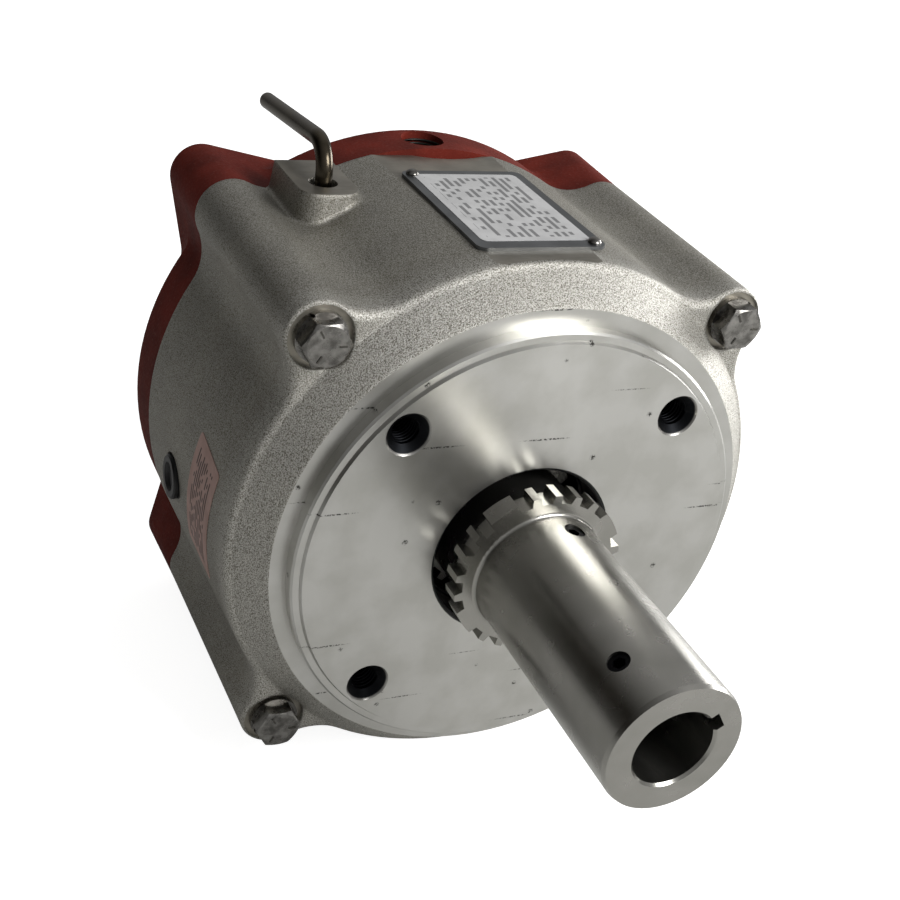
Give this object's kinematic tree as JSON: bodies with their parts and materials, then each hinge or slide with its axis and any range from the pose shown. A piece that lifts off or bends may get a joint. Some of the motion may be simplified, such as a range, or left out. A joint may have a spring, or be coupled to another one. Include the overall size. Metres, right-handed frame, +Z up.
{
  "type": "motor coupler brake",
  "caption": "Spring-set friction brake between a flange motor and a reducer, with a splined coupler sleeve, a cast lobed housing, an iron endplate and a manual release lever.",
  "frame": {"origin": "on the shaft axis, in the plane of the output face, at the centre of its bolt circle", "axes": "+Y along the shaft axis from the output face to the motor side, +Z up to the nameplate pad and the conduit entry, +X to the right seen from the output face"},
  "size_m": [0.2658, 0.3486, 0.278],
  "materials": {
    "cast_aluminium": "sand cast, machined faces",
    "red_primed_iron": "matt red oxide primer on cast iron",
    "zinc_steel": "bright zinc plate",
    "sleeve_steel": "turned and plated steel",
    "black_oxide_steel": "black oxide",
    "plain_steel": "machined steel",
    "cast_iron": "machined grey iron",
    "friction_lining": "moulded friction material",
    "potting": "epoxy potting",
    "lead_insulation": "lead insulation",
    "cap_plastic": "crimped nylon cap",
    "plate_metal": "satin, blank",
    "label_paper": "blank paper label",
    "black_rubber": "black moulding",
    "bronze": "sintered bronze",
    "lever_steel": "drawn stainless rod"
  },
  "bodies": {
    "base": {"housing": "cast_aluminium", "endplate": "red_primed_iron", "housing_bolts": "zinc_steel", "housing_bolt_washers": "zinc_steel", "magnet_body": "plain_steel", "coil": "potting", "coil_leads": "lead_insulation", "lead_caps": "cap_plastic", "magnet_screws": "black_oxide_steel", "pressure_springs": "plain_steel", "torque_pins": "plain_steel", "stationary_disc": "cast_iron", "bore_guard": "black_rubber", "nameplate": "plate_metal", "nameplate_screws": "zinc_steel", "side_port_plug": "black_rubber", "side_label": "label_paper", "lever_bush": "bronze"},
    "front_disc": {"front_disc_core": "plain_steel", "front_disc_linings": "friction_lining"},
    "rear_disc": {"rear_disc_core": "plain_steel", "rear_disc_linings": "friction_lining"},
    "sleeve": {"coupler_sleeve": "sleeve_steel", "sleeve_set_screws": "black_oxide_steel"},
    "plate": {"pressure_plate": "cast_iron"},
    "lever": {"release_lever": "lever_steel", "release_cam": "plain_steel", "cam_pin": "plain_steel", "lever_clips": "black_oxide_steel"}
  },
  "joints": [
    {"name": "front_disc_spin", "type": "hinge", "parent": "base", "child": "front_disc", "pos_m": [0, 0.1251, 0], "axis": [0, 1, 0], "continuous": true},
    {"name": "rear_disc_spin", "type": "hinge", "parent": "base", "child": "rear_disc", "pos_m": [0, 0.1403, 0], "axis": [0, 1, 0], "continuous": true},
    {"name": "sleeve_slide", "type": "slide", "parent": "front_disc", "child": "sleeve", "axis": [0, 1, 0], "range_m": [-0.004, 0.032]},
    {"name": "lever_turn", "type": "hinge", "parent": "base", "child": "lever", "pos_m": [-0.066, 0.1255, 0.11], "axis": [0, 0, 1], "range_deg": [0, 60]},
    {"name": "plate_release", "type": "slide", "parent": "base", "child": "plate", "axis": [0, -1, 0], "range_m": [0, 0.0012], "deforming": ["pressure_springs"]}
  ],
  "couplings": [
    {"joint": "rear_disc_spin", "follows": "front_disc_spin", "ratio": 1},
    {"joint": "lever_turn", "follows": "plate_release", "rad_per_m": 872}
  ]
}
